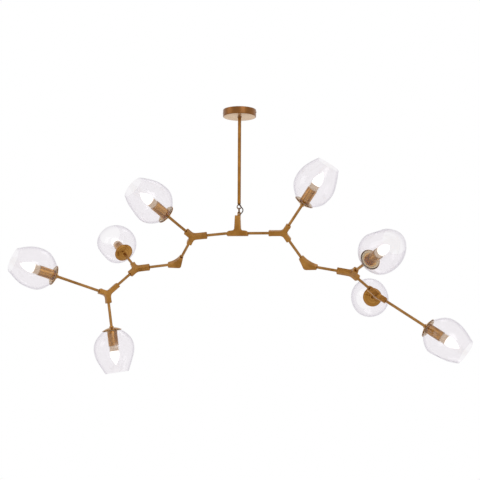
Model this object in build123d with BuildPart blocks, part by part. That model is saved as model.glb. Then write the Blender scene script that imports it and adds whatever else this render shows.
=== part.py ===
from build123d import *
import os
from math import cos, radians, sin, sqrt

# Branching ceiling chandelier. A stem hangs from a round canopy and ends in an
# eye; a link ring carries the centre hub, and from the hub two chains of rods,
# forked hubs and elbows branch out to eight glass shades.
#
# Millimetres, +Z up. The origin is the middle of the ceiling bracket's two
# slots, in the ceiling plane. The bar of the centre hub lies along X.

os.makedirs("parts", exist_ok=True)

# ---------------------------------------------------------------- ceiling end
canopy_radius = 60.0
canopy_height = 25.0
canopy_wall = 1.2
canopy_edge_round = 2.0

bracket_thickness = 2.0
bracket_width = 22.0
bracket_drop = 12.0
bracket_plate_half = 24.0
bracket_tab_height = 18.0
bracket_to_canopy_gap = 6.8
slot_spacing = 70.0
slot_length = 12.0
slot_width = 4.5

side_screw_radius = 2.0
side_screw_height = 9.0
side_screw_inside = 2.0

terminal_length = 28.0
terminal_width = 12.0
terminal_height = 9.0
terminal_offset = 9.0
terminal_way_radius = 1.6
terminal_way_pitch = 9.0

# ----------------------------------------------------------------------- stem
stem_radius = 6.0
stem_bore_radius = 4.0
stem_end = -340.5
nipple_radius = 5.0
nipple_height = 11.0
nut_across_flats = 16.0
nut_height = 7.0
stem_hole_clearance = 0.3
nut_gap = 0.1

# ------------------------------------------------- eye, link ring and lead
wire_radius = 1.75
eye_radius = 7.25
eye_collar_height = 4.0
eye_sink = 1.0
eye_plug_length = 6.0
link_radius = 9.5
link_gap = 0.4
lead_radius = 1.3
lead_hole_clearance = 0.4
lead_exit_side = 2.0
lead_exit_gap = 0.3
lead_entry_side = 3.6
lead_entry_wall = 1.0
lead_insertion = 3.0

# ----------------------------------------------------------------- centre hub
neck_height = 73.5
neck_top_half = 9.5
neck_foot_half = 12.0
neck_foot_round = 5.0
bar_half_length = 38.5
bar_half_height = 10.0
bar_top_cut = 5.0
bar_foot_cut = 2.0
centre_hub_half_depth = 12.0
ear_offset = (3.5, 9.0)
ear_radius = 6.0
ear_half_thickness = 2.5
ear_hole_clearance = 0.75
ear_shoulder_drop = 9.5
ear_root_depth = 3.0
right_droop = 0.0
left_droop = 5.2

# ------------------------------------------------ rods, forked hubs and elbows
rod_radius = 5.0
rod_bore_radius = 3.5
rod_insertion = 18.0
socket_bore_depth = 20.0
socket_clearance = 0.05
wireway_radius = 3.0
edge_chamfer = 2.2

hub_long_arm = 53.5
hub_short_arm = 34.5
hub_fork_angle = 56.5
hub_root_width = 20.5
hub_tip_width = 18.5
hub_tip_cut = 2.0
hub_thickness = 20.0

elbow_arm = 38.0
elbow_angle = 53.0
elbow_thickness = 21.0
elbow_tip_half = 7.0
elbow_heel = 18.0
elbow_heel_round = 5.0
elbow_hollow = 2.5

inner_rod_length = 72.5
branch_rod_length = 72.5
elbow_rod_length = 72.5
fork_rod_length = 65.0
short_light_rod = 88.0
long_light_rod = 165.0

# ------------------------------------------------------------------- lights
cup_radius = 35.0
cup_depth = 10.7
cup_wall = 1.2
cup_boss_radius = 8.0
cup_boss_height = 4.0

sleeve_radius = 18.0
sleeve_wall = 1.0
sleeve_base = 1.8
sleeve_reach = 56.0
seat_gap = 0.3

light_nut_across_flats = 14.0
light_nut_height = 5.0

ring_radius = 24.0
ring_height = 3.0

insert_radius = 16.3
insert_reach = 19.0
insert_foot_radius = 13.0
insert_foot_height = 25.0
insert_foot_floor = 5.0
insert_foot_gap = 1.5
insert_mouth_wall = 1.0
cap_bore_depth = 25.0

bulb_cap_radius = 7.1
bulb_cap_clearance = 0.3
bulb_cap_length = 25.0
bulb_cap_gap = 1.0
bulb_reach = 54.0
bulb_radius = 18.0
bulb_widest = 13.0
bulb_tip_radius = 1.2

shade_wall = 2.0
shade_hole_radius = 19.5
shade_seat_radius = 33.4
# Height above the cup's rim and outside radius of the blown shade.
shade_outline = ((20.0, 54.5), (45.0, 70.0), (73.0, 73.7), (100.0, 70.0), (124.0, 61.0))
shade_mouth_height = 156.0
shade_mouth_radius = 42.5

# ------------------------------------ turn of each hub and elbow on its rod
# Measured from straight up, right-handed about the rod's outward direction.
left_turns = (-44.0, -63.0, 48.0, 10.0)
right_turns = (20.5, 53.5, 59.5, 109.5)

# ------------------------------------------------------------ derived places
eye_height = stem_end - eye_collar_height + eye_sink - wire_radius - eye_radius
link_pivot = eye_height - eye_radius
link_height = link_pivot + 2.0 * wire_radius + link_gap - link_radius
centre_pivot = link_height - link_radius
bar_height = centre_pivot - neck_height
shoulder_height = neck_height - ear_shoulder_drop
tab_outside = canopy_radius - canopy_wall - bracket_to_canopy_gap
socket_bore_radius = rod_radius + socket_clearance
lead_hole_radius = lead_radius + lead_hole_clearance

dome_radius = (cup_radius**2 + cup_depth**2) / (2.0 * cup_depth)
dome_inside = dome_radius - cup_wall
shade_outside = dome_inside - seat_gap
shade_inside = shade_outside - shade_wall


def dome(sphere, radius):
    """Height above the cup's back of a sphere about the dome's centre."""
    return dome_radius - sqrt(sphere**2 - radius**2)


sleeve_foot = dome(dome_inside, sleeve_radius) + seat_gap
sleeve_floor = sleeve_foot + sleeve_base
light_rod_end = sleeve_floor + nut_gap + light_nut_height
sleeve_top = cup_depth + sleeve_reach
insert_top = sleeve_top + insert_reach
insert_foot = light_rod_end + insert_foot_gap
insert_step = insert_foot + insert_foot_height
insert_mouth_radius = insert_radius - insert_mouth_wall
cap_bore_radius = bulb_cap_radius + bulb_cap_clearance
cap_bore_floor = insert_foot + insert_foot_floor
cap_bore_top = cap_bore_floor + cap_bore_depth
bulb_foot = cap_bore_floor + bulb_cap_gap
bulb_shoulder = bulb_foot + bulb_cap_length
bulb_tip = insert_top + bulb_reach
shade_seat_height = dome(shade_outside, shade_seat_radius)
ring_foot = dome(shade_inside, ring_radius) + seat_gap


def save(piece, label):
    """Label a finished piece and write it as one STEP file."""
    piece.part.label = label
    export_step(piece.part, f"parts/{label}.step")


def turned_up(forward, turn):
    """Unit vector square to forward, turned by an angle from straight up."""
    upright = (Vector(0, 0, 1) - forward * forward.Z).normalized()
    sideways = forward.cross(upright)
    return upright * cos(radians(turn)) + sideways * sin(radians(turn))


def plan_plane(origin, forward, upward):
    """Plane with X along forward and Y along upward."""
    return Plane(origin=origin, x_dir=forward, z_dir=forward.cross(upward))


def axial_plane(origin, direction):
    """Plane with X pointing away from an axis and Y along it."""
    outward = Plane(origin=origin, z_dir=direction).x_dir
    return Plane(origin=origin, x_dir=outward, z_dir=outward.cross(direction))


# ==================================================================== ceiling
with BuildPart() as mounting_bracket:
    foot_inside = bracket_plate_half
    plate_top = -bracket_drop
    strap = (
        (0, plate_top),
        (foot_inside - bracket_thickness, plate_top),
        (foot_inside - bracket_thickness, 0),
        (tab_outside, 0),
        (tab_outside, -bracket_tab_height),
        (tab_outside - bracket_thickness, -bracket_tab_height),
        (tab_outside - bracket_thickness, -bracket_thickness),
        (foot_inside, -bracket_thickness),
        (foot_inside, plate_top - bracket_thickness),
        (0, plate_top - bracket_thickness),
    )
    with BuildSketch(Plane.XZ):
        Polygon(*strap, align=None)
        mirror(about=Plane.YZ)
    extrude(amount=bracket_width / 2, both=True)
    with BuildSketch(Plane.XY):
        with Locations((-slot_spacing / 2, 0), (slot_spacing / 2, 0)):
            SlotOverall(slot_length, slot_width)
    extrude(amount=-bracket_thickness, mode=Mode.SUBTRACT)
    with BuildSketch(Plane.XY.offset(plate_top)):
        Circle(nipple_radius + stem_hole_clearance)
    extrude(amount=-bracket_thickness, mode=Mode.SUBTRACT)
    with BuildSketch(Plane.YZ.offset(-tab_outside)):
        with Locations((0, -side_screw_height)):
            Circle(side_screw_radius + socket_clearance)
    extrude(amount=2 * tab_outside, mode=Mode.SUBTRACT)
save(mounting_bracket, "mounting_bracket")

with BuildPart() as canopy:
    with BuildSketch(Plane.XY):
        Circle(canopy_radius)
    extrude(amount=-canopy_height)
    fillet(canopy.faces().sort_by(Axis.Z)[0].edges(), radius=canopy_edge_round)
    with BuildSketch(Plane.XY):
        Circle(canopy_radius - canopy_wall)
    extrude(amount=-(canopy_height - canopy_wall), mode=Mode.SUBTRACT)
    with BuildSketch(Plane.XY.offset(-canopy_height)):
        Circle(stem_radius + stem_hole_clearance)
    extrude(amount=canopy_height, mode=Mode.SUBTRACT)
    with BuildSketch(Plane.YZ.offset(-canopy_radius)):
        with Locations((0, -side_screw_height)):
            Circle(side_screw_radius + socket_clearance)
    extrude(amount=2 * canopy_radius, mode=Mode.SUBTRACT)
save(canopy, "canopy")

with BuildPart() as canopy_fixings:
    side_screw_end = tab_outside - bracket_thickness - side_screw_inside
    side_screw_length = canopy_radius - side_screw_end
    for facing in (1, -1):
        with BuildSketch(Plane.YZ.offset(facing * side_screw_end)):
            with Locations((0, -side_screw_height)):
                Circle(side_screw_radius)
        extrude(amount=facing * side_screw_length)
    with BuildSketch(Plane.XY.offset(nut_gap - bracket_drop)):
        RegularPolygon(nut_across_flats / 2, 6, major_radius=False)
        Circle(nipple_radius + socket_clearance, mode=Mode.SUBTRACT)
    extrude(amount=nut_height)
save(canopy_fixings, "canopy_fixings")

with BuildPart() as terminal_block:
    block_top = -bracket_drop - bracket_thickness
    block_middle = terminal_offset + terminal_width / 2
    with BuildSketch(Plane.XY.offset(block_top)):
        with Locations((block_middle, 0)):
            RectangleRounded(terminal_width, terminal_length, terminal_way_radius)
    extrude(amount=-terminal_height)
    with BuildSketch(Plane.YZ.offset(terminal_offset)):
        with Locations((0, block_top - terminal_height / 2)):
            with GridLocations(terminal_way_pitch, 0, 3, 1):
                Circle(terminal_way_radius)
    extrude(amount=terminal_width, mode=Mode.SUBTRACT)
save(terminal_block, "terminal_block")

with BuildPart() as stem:
    stem_top = -bracket_drop - bracket_thickness
    with BuildSketch(Plane.XY.offset(stem_end)):
        Circle(stem_radius)
    extrude(amount=stem_top - stem_end)
    with BuildSketch(Plane.XY.offset(stem_top)):
        Circle(nipple_radius)
    extrude(amount=nipple_height)
    with BuildSketch(Plane.XY.offset(stem_end)):
        Circle(stem_bore_radius)
    extrude(amount=stem_top + nipple_height - stem_end, mode=Mode.SUBTRACT)
save(stem, "stem")

# The lead leaves the eye's collar in front of the ring and enters the centre
# hub in front of its ear, so it goes round the joint on its right.
lead_exit = (lead_exit_side, -(wire_radius + lead_radius + link_gap))
lead_entry = (lead_entry_side, -(ear_half_thickness + lead_hole_radius + lead_entry_wall))

with BuildPart() as stem_eye:
    with BuildSketch(Plane.XY.offset(stem_end - eye_collar_height)):
        Circle(stem_radius)
    extrude(amount=eye_collar_height)
    with BuildSketch(Plane.XY.offset(stem_end)):
        Circle(stem_bore_radius - socket_clearance)
    extrude(amount=eye_plug_length)
    with BuildSketch(Plane.XY.offset(stem_end - eye_collar_height)):
        with Locations(lead_exit):
            Circle(lead_hole_radius)
    extrude(amount=eye_collar_height + eye_plug_length, mode=Mode.SUBTRACT)
    with BuildSketch(Plane.YZ):
        with Locations((0, eye_height - eye_radius)):
            Circle(wire_radius)
    revolve(axis=Axis((0, 0, eye_height), (0, 1, 0)))
save(stem_eye, "stem_eye")

with BuildPart() as link_ring:
    with BuildSketch(Plane.XZ):
        with Locations((0, link_height - link_radius)):
            Circle(wire_radius)
    revolve(axis=Axis((0, 0, link_height), (1, 0, 0)))
save(link_ring, "link_ring")

# Route of the short flexible lead that carries the mains past the ring joint.
lead_route = [
    (lead_exit[0], lead_exit[1], stem_end - lead_exit_gap),
    (2.1, -3.6, -348.0),
    (8.6, -4.4, -354.0),
    (14.6, -4.8, -361.0),
    (14.4, -5.0, -369.0),
    (9.2, -5.2, -376.0),
    (3.8, -5.2, -381.5),
    (lead_entry[0], lead_entry[1], bar_height + shoulder_height - lead_insertion),
]


def bend_radii(route):
    """Radius of each corner: 0.45 of the shorter run over tan(half the turn)."""
    places = [Vector(*place) for place in route]
    radii = []
    for before, corner, after in zip(places, places[1:], places[2:]):
        arriving = corner - before
        leaving = after - corner
        half_turn = radians(arriving.get_angle(leaving) / 2)
        shorter = min(arriving.length, leaving.length)
        radii.append(0.45 * shorter * cos(half_turn) / sin(half_turn))
    return radii


lead_bends = bend_radii(lead_route)
print("lead bend radii", [round(radius, 1) for radius in lead_bends])

with BuildPart() as jumper_lead:
    with BuildLine() as lead_path:
        FilletPolyline(*lead_route, radius=lead_bends)
    with BuildSketch(lead_path.line ^ 0):
        Circle(lead_radius)
    sweep(path=lead_path.line)
save(jumper_lead, "jumper_lead")
print("lead length", round(sum(run.length for run in lead_path.edges()), 1))

# ================================================================ centre hub
right_way = Vector(cos(radians(right_droop)), 0, -sin(radians(right_droop)))
left_way = Vector(-cos(radians(left_droop)), 0, -sin(radians(left_droop)))
bar_centre = Vector(-ear_offset[0], -ear_offset[1], bar_height)
right_bar_end = bar_centre + Vector(bar_half_length, 0, 0)
left_bar_end = bar_centre - Vector(bar_half_length, 0, 0)

with BuildPart() as centre_hub:
    front = Plane(origin=bar_centre, x_dir=(1, 0, 0), z_dir=(0, -1, 0))
    with BuildSketch(front):
        with BuildLine():
            Polyline(
                (0, -bar_half_height),
                (bar_half_length - bar_foot_cut, -bar_half_height),
                (bar_half_length, bar_foot_cut - bar_half_height),
                (bar_half_length, bar_half_height - bar_top_cut),
                (bar_half_length - bar_top_cut, bar_half_height),
            )
            FilletPolyline(
                (bar_half_length - bar_top_cut, bar_half_height),
                (neck_foot_half, bar_half_height),
                (neck_top_half, shoulder_height),
                radius=neck_foot_round,
            )
            Polyline(
                (neck_top_half, shoulder_height),
                (0, shoulder_height),
                (0, -bar_half_height),
            )
        make_face()
        mirror(about=Plane.YZ)
    extrude(amount=centre_hub_half_depth, both=True)
    chamfer(centre_hub.faces().filter_by(Axis.Y).edges(), length=edge_chamfer)
    ear_middle = front.offset(-ear_offset[1])
    ear_root = shoulder_height - ear_root_depth
    with BuildSketch(ear_middle):
        with Locations((ear_offset[0], (ear_root + neck_height) / 2)):
            Rectangle(2 * ear_radius, neck_height - ear_root)
        with Locations((ear_offset[0], neck_height)):
            Circle(ear_radius)
    extrude(amount=ear_half_thickness, both=True)
    with BuildSketch(ear_middle):
        with Locations((ear_offset[0], neck_height)):
            Circle(wire_radius + ear_hole_clearance)
    extrude(amount=ear_half_thickness, both=True, mode=Mode.SUBTRACT)
    with BuildSketch(Plane.XY.offset(bar_height + shoulder_height)):
        with Locations(lead_entry):
            Circle(lead_hole_radius)
    extrude(amount=-shoulder_height, mode=Mode.SUBTRACT)
    for bar_end, way in ((right_bar_end, right_way), (left_bar_end, left_way)):
        with BuildSketch(Plane(origin=bar_end, z_dir=way)):
            Circle(socket_bore_radius)
        extrude(amount=-socket_bore_depth, mode=Mode.SUBTRACT)
        with BuildSketch(Plane(origin=bar_end, z_dir=way)):
            Circle(socket_bore_radius)
        extrude(amount=rod_radius, mode=Mode.SUBTRACT)
        with BuildSketch(Plane(origin=bar_end, z_dir=way)):
            Circle(wireway_radius)
        extrude(amount=-bar_half_length, mode=Mode.SUBTRACT)
save(centre_hub, "centre_hub")


# ============================================================ repeated pieces
def add_tube(start, way, length):
    """Round tube from a place, along a way, added to the part being built."""
    with BuildSketch(Plane(origin=start, z_dir=way)) as section:
        Circle(rod_radius)
        Circle(rod_bore_radius, mode=Mode.SUBTRACT)
    extrude(section.sketch, amount=length)


def bore_sockets(ends):
    """Rod sockets, with a wireway from each on to the middle of the piece."""
    for end, way, arm in ends:
        with BuildSketch(Plane(origin=end, z_dir=way)) as socket:
            Circle(socket_bore_radius)
        extrude(socket.sketch, amount=-socket_bore_depth, mode=Mode.SUBTRACT)
        with BuildSketch(Plane(origin=end, z_dir=way)) as wireway:
            Circle(wireway_radius)
        extrude(wireway.sketch, amount=-arm, mode=Mode.SUBTRACT)


def make_rod(label, start, way, visible):
    """Connecting rod whose two ends sit in the sockets either side."""
    with BuildPart() as rod:
        add_tube(start - way * rod_insertion, way, visible + 2 * rod_insertion)
    save(rod, label)


def make_light_rods(label, rods):
    """Rods from a hub to the lights; each ends in the lamp's lock nut."""
    with BuildPart() as light_rods:
        for start, way, visible in rods:
            reach = rod_insertion + visible + light_rod_end
            add_tube(start - way * rod_insertion, way, reach)
    save(light_rods, label)


def make_hub(label, centre, forward, upward):
    """Forked hub: one long arm back along the rod and two short arms ahead."""
    plan = plan_plane(centre, forward, upward)
    upper = forward * cos(radians(hub_fork_angle)) + upward * sin(radians(hub_fork_angle))
    lower = forward * cos(radians(hub_fork_angle)) - upward * sin(radians(hub_fork_angle))
    arms = (
        (180.0, hub_long_arm, -forward),
        (hub_fork_angle, hub_short_arm, upper),
        (-hub_fork_angle, hub_short_arm, lower),
    )
    root = hub_root_width / 2
    tip = hub_tip_width / 2
    with BuildPart() as hub:
        with BuildSketch(plan):
            for angle, length, way in arms:
                with Locations(Location((0, 0, 0), (0, 0, angle))):
                    Polygon(
                        (0, -root),
                        (length - hub_tip_cut, -tip),
                        (length, hub_tip_cut - tip),
                        (length, tip - hub_tip_cut),
                        (length - hub_tip_cut, tip),
                        (0, root),
                        align=None,
                    )
        extrude(amount=hub_thickness / 2, both=True)
        flats = hub.faces().filter_by(Axis(centre, plan.z_dir))
        chamfer(flats.edges(), length=edge_chamfer)
        bore_sockets([(centre + way * length, way, length) for angle, length, way in arms])
    save(hub, label)


def make_elbow(label, corner, forward, upward):
    """Triangular elbow plate that turns the rod towards upward."""
    plan = plan_plane(corner, forward, upward)
    bend = radians(elbow_angle)
    leaving = forward * cos(bend) + upward * sin(bend)
    half = elbow_tip_half
    inner_back = (-elbow_arm, half)
    outer_back = (-elbow_arm, -half)
    outer_front = (elbow_arm * cos(bend) + half * sin(bend), elbow_arm * sin(bend) - half * cos(bend))
    inner_front = (elbow_arm * cos(bend) - half * sin(bend), elbow_arm * sin(bend) + half * cos(bend))
    heel = (elbow_heel * sin(bend / 2), -elbow_heel * cos(bend / 2))
    chord_middle = ((inner_back[0] + inner_front[0]) / 2, (inner_back[1] + inner_front[1]) / 2)
    hollow = (
        chord_middle[0] + elbow_hollow * sin(bend / 2),
        chord_middle[1] - elbow_hollow * cos(bend / 2),
    )
    with BuildPart() as elbow:
        with BuildSketch(plan):
            with BuildLine():
                Line(inner_back, outer_back)
                FilletPolyline(outer_back, heel, outer_front, radius=elbow_heel_round)
                Line(outer_front, inner_front)
                ThreePointArc(inner_front, hollow, inner_back)
            make_face()
        extrude(amount=elbow_thickness / 2, both=True)
        flats = elbow.faces().filter_by(Axis(corner, plan.z_dir))
        chamfer(flats.edges(), length=edge_chamfer)
        bore_sockets(
            [
                (corner - forward * elbow_arm, -forward, elbow_arm),
                (corner + leaving * elbow_arm, leaving, elbow_arm),
            ]
        )
    save(elbow, label)


def spin(origin, way):
    """Revolve the sketch just drawn about a light's own axis."""
    revolve(axis=Axis(origin, way))


def make_holder(label, back, way):
    """Dished cup, lamp sleeve, shade ring and lock nut: four brass solids."""
    section = axial_plane(back, way)
    boss = cup_boss_radius
    bore = socket_bore_radius
    rim_scale = dome_inside / dome_radius
    rim_inside = (cup_radius * rim_scale, dome_radius + (cup_depth - dome_radius) * rim_scale)
    middle = (boss + cup_radius) / 2
    with BuildPart() as holder:
        with BuildSketch(section):
            with BuildLine():
                Polyline((bore, -cup_boss_height), (boss, -cup_boss_height), (boss, dome(dome_radius, boss)))
                ThreePointArc(
                    (boss, dome(dome_radius, boss)),
                    (middle, dome(dome_radius, middle)),
                    (cup_radius, cup_depth),
                )
                Line((cup_radius, cup_depth), rim_inside)
                ThreePointArc(rim_inside, (middle, dome(dome_inside, middle)), (bore, dome(dome_inside, bore)))
                Line((bore, dome(dome_inside, bore)), (bore, -cup_boss_height))
            make_face()
        spin(back, way)
        with BuildSketch(section):
            Polygon(
                (bore, sleeve_foot),
                (sleeve_radius, sleeve_foot),
                (sleeve_radius, sleeve_top),
                (sleeve_radius - sleeve_wall, sleeve_top),
                (sleeve_radius - sleeve_wall, sleeve_floor),
                (bore, sleeve_floor),
                align=None,
            )
        spin(back, way)
        with BuildSketch(section):
            Polygon(
                (sleeve_radius + seat_gap, ring_foot),
                (ring_radius, ring_foot),
                (ring_radius, ring_foot + ring_height),
                (sleeve_radius + seat_gap, ring_foot + ring_height),
                align=None,
            )
        spin(back, way)
        with BuildSketch(Plane(origin=back + way * (sleeve_floor + nut_gap), z_dir=way)):
            RegularPolygon(light_nut_across_flats / 2, 6, major_radius=False)
            Circle(bore, mode=Mode.SUBTRACT)
        extrude(amount=light_nut_height)
    save(holder, label)


def make_sockets(label, lights):
    """Lampholder inserts: a narrow foot and a wide collar round the bulb."""
    with BuildPart() as sockets:
        for back, way in lights:
            with BuildSketch(axial_plane(back, way)):
                Polygon(
                    (rod_bore_radius, insert_foot),
                    (insert_foot_radius, insert_foot),
                    (insert_foot_radius, insert_step),
                    (insert_radius, insert_step),
                    (insert_radius, insert_top),
                    (insert_mouth_radius, insert_top),
                    (insert_mouth_radius, cap_bore_top),
                    (cap_bore_radius, cap_bore_top),
                    (cap_bore_radius, cap_bore_floor),
                    (rod_bore_radius, cap_bore_floor),
                    align=None,
                )
            spin(back, way)
    save(sockets, label)


def make_bulb(label, back, way):
    """Candle bulb: screw cap and a pointed opal envelope."""
    throat = insert_mouth_radius - bulb_cap_clearance
    widest = insert_top + bulb_widest
    with BuildPart() as bulb:
        with BuildSketch(axial_plane(back, way)):
            with BuildLine():
                Polyline(
                    (0, bulb_tip),
                    (0, bulb_foot),
                    (bulb_cap_radius, bulb_foot),
                    (bulb_cap_radius, bulb_shoulder),
                    (throat, bulb_shoulder + throat - bulb_cap_radius),
                    (throat, insert_top),
                )
                Spline(
                    (throat, insert_top),
                    (bulb_radius, widest),
                    (bulb_radius / 2, bulb_tip - bulb_reach / 4),
                    (bulb_tip_radius, bulb_tip),
                    tangents=((0, 1), (-1, 3)),
                )
                Line((bulb_tip_radius, bulb_tip), (0, bulb_tip))
            make_face()
        spin(back, way)
    save(bulb, label)


def inward(points, wall):
    """The same outline moved inwards by a wall, square to its own run."""
    moved = []
    last = len(points) - 1
    for index, (radius, height) in enumerate(points):
        before = points[max(index - 1, 0)]
        after = points[min(index + 1, last)]
        run = Vector(after[0] - before[0], after[1] - before[1]).normalized()
        moved.append((radius - run.Y * wall, height + run.X * wall))
    return moved


def make_shade(label, back, way):
    """Blown glass shade: it sits in the cup and opens at the far end."""
    outline = [(shade_seat_radius, shade_seat_height)]
    for height, radius in shade_outline:
        outline.append((radius, cup_depth + height))
    outline.append((shade_mouth_radius, cup_depth + shade_mouth_height))
    inside = inward(outline, shade_wall)
    inner_seat = shade_seat_radius * shade_inside / shade_outside
    inside[0] = (inner_seat, dome(shade_inside, inner_seat))
    hole = shade_hole_radius
    middle = (hole + inner_seat) / 2
    with BuildPart() as shade:
        with BuildSketch(axial_plane(back, way)):
            with BuildLine():
                ThreePointArc(
                    (hole, dome(shade_outside, hole)),
                    (middle, dome(shade_outside, middle)),
                    outline[0],
                )
                Spline(*outline)
                Line(outline[-1], inside[-1])
                Spline(*reversed(inside))
                ThreePointArc(
                    inside[0],
                    (middle, dome(shade_inside, middle)),
                    (hole, dome(shade_inside, hole)),
                )
                Line((hole, dome(shade_inside, hole)), (hole, dome(shade_outside, hole)))
            make_face()
        spin(back, way)
    save(shade, label)


# ================================================================== branches
def fork_ways(forward, upward):
    """Directions of a hub's two short arms."""
    ahead = forward * cos(radians(hub_fork_angle))
    aside = upward * sin(radians(hub_fork_angle))
    return ahead + aside, ahead - aside


def make_branch(side, first_light, bar_end, forward, turns):
    """One side of the chandelier, from the centre hub out to its four lights.

    Returns the swivels as (name, a place on the axis, direction) and the
    lights as (number, back of the cup, direction)."""
    swivels = []
    lights = []

    def light(number, start, way, rod_length):
        back = start + way * rod_length
        lights.append((number, back, way))
        make_holder(f"light_{number}_holder", back, way)
        make_shade(f"light_{number}_shade", back, way)
        make_bulb(f"light_{number}_bulb", back, way)
        return back

    # inner hub, turning on the inner rod
    swivels.append((f"{side}_inner_hub", bar_end + forward * inner_rod_length, forward))
    centre = bar_end + forward * (inner_rod_length + hub_long_arm)
    upward = turned_up(forward, turns[0])
    make_hub(f"{side}_inner_hub", centre, forward, upward)
    upper, lower = fork_ways(forward, upward)
    number = first_light
    start = centre + upper * hub_short_arm
    make_light_rods(f"light_{number}_rod", [(start, upper, short_light_rod)])
    back = light(number, start, upper, short_light_rod)
    make_sockets(f"light_{number}_socket", [(back, upper)])

    # elbow, turning on the branch rod
    start = centre + lower * hub_short_arm
    make_rod(f"{side}_branch_rod", start, lower, branch_rod_length)
    start = start + lower * branch_rod_length
    swivels.append((f"{side}_elbow", start, lower))
    centre = start + lower * elbow_arm
    upward = turned_up(lower, turns[1])
    make_elbow(f"{side}_elbow", centre, lower, upward)
    forward = lower * cos(radians(elbow_angle)) + upward * sin(radians(elbow_angle))

    # outer hub, turning on the elbow rod
    start = centre + forward * elbow_arm
    make_rod(f"{side}_elbow_rod", start, forward, elbow_rod_length)
    start = start + forward * elbow_rod_length
    swivels.append((f"{side}_outer_hub", start, forward))
    centre = start + forward * hub_long_arm
    upward = turned_up(forward, turns[2])
    make_hub(f"{side}_outer_hub", centre, forward, upward)
    upper, lower = fork_ways(forward, upward)
    number = first_light + 1
    start = centre + upper * hub_short_arm
    make_light_rods(f"light_{number}_rod", [(start, upper, short_light_rod)])
    back = light(number, start, upper, short_light_rod)
    make_sockets(f"light_{number}_socket", [(back, upper)])

    # end hub, turning on the fork rod
    start = centre + lower * hub_short_arm
    make_rod(f"{side}_fork_rod", start, lower, fork_rod_length)
    start = start + lower * fork_rod_length
    swivels.append((f"{side}_end_hub", start, lower))
    centre = start + lower * hub_long_arm
    upward = turned_up(lower, turns[3])
    make_hub(f"{side}_end_hub", centre, lower, upward)
    outer, inner = fork_ways(lower, upward)
    outer_start = centre + outer * hub_short_arm
    inner_start = centre + inner * hub_short_arm
    make_light_rods(
        f"{side}_end_rods",
        [(outer_start, outer, long_light_rod), (inner_start, inner, short_light_rod)],
    )
    outer_back = light(first_light + 2, outer_start, outer, long_light_rod)
    inner_back = light(first_light + 3, inner_start, inner, short_light_rod)
    make_sockets(f"{side}_end_sockets", [(outer_back, outer), (inner_back, inner)])
    return swivels, lights


with BuildPart() as inner_rods:
    for bar_end, way in ((right_bar_end, right_way), (left_bar_end, left_way)):
        add_tube(bar_end - way * rod_insertion, way, inner_rod_length + 2 * rod_insertion)
save(inner_rods, "inner_rods")

left_swivels, left_lights = make_branch("left", 1, left_bar_end, left_way, left_turns)
right_swivels, right_lights = make_branch("right", 5, right_bar_end, right_way, right_turns)
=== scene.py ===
"""Looks of the branch chandelier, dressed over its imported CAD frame.

Metres, +Z up, in the frame of the CAD. Shapes are worked out in millimetres
and turned into metres as they become meshes. The chains of hubs, elbows and
rods are walked with the same lengths and turns as the part's source, so each
piece lies where its CAD node does.
"""

from math import cos, pi, radians, sin

import bmesh
import bpy
import numpy as np
from mathutils import Matrix, Vector


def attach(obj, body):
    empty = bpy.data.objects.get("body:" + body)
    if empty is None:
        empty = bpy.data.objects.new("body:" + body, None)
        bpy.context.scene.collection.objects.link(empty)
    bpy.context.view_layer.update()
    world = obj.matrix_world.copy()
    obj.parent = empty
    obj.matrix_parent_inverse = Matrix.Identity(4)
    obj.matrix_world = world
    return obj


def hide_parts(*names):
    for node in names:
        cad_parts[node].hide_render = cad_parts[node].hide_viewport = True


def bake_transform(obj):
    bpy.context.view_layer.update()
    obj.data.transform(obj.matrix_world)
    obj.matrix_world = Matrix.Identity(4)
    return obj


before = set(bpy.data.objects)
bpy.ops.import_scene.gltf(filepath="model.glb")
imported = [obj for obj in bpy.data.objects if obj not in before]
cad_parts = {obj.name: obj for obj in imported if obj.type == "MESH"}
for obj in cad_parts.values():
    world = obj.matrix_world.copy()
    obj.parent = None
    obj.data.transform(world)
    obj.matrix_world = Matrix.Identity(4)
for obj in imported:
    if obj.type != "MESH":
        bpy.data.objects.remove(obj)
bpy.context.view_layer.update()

MM = 0.001

# ------------------------------------------------------------ sizes, in mm
CANOPY_RADIUS = 60.0
CANOPY_HEIGHT = 25.0
CANOPY_WALL = 1.2
CANOPY_GAP = 0.3
SIDE_SCREW_DROP = 9.0
COLLAR_RADIUS = 8.2
STEM_RADIUS = 6.0
STEM_TOP = -14.0
STEM_END = -340.5
NIPPLE_RADIUS = 5.0
NIPPLE_RISE = 11.0
EYE_COLLAR = 4.0
WIRE_RADIUS = 1.75
EYE_RADIUS = 7.25
EYE_HEIGHT = -352.5
LINK_RADIUS = 9.5
LINK_HEIGHT = -365.35
CENTRE_PIVOT = -374.85
LEAD_SLEEVING = 1.9
LEAD_ACROSS = 3.6
LEAD_BEFORE = 5.2

NECK_HEIGHT = 73.5
NECK_SHOULDER = 64.0
NECK_TOP_HALF = 9.5
NECK_FOOT_HALF = 12.0
BAR_HEIGHT = CENTRE_PIVOT - NECK_HEIGHT
BAR_HALF_LENGTH = 38.5
BAR_HALF_HEIGHT = 10.0
BAR_DEPTH = 24.0
EAR_ACROSS = 3.5
EAR_BEHIND = 9.0
EAR_RADIUS = 6.0
EAR_THICKNESS = 5.0
LEFT_DROOP = 5.2
CENTRE_EDGE = 4.2
EAR_EDGE = 0.8

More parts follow.
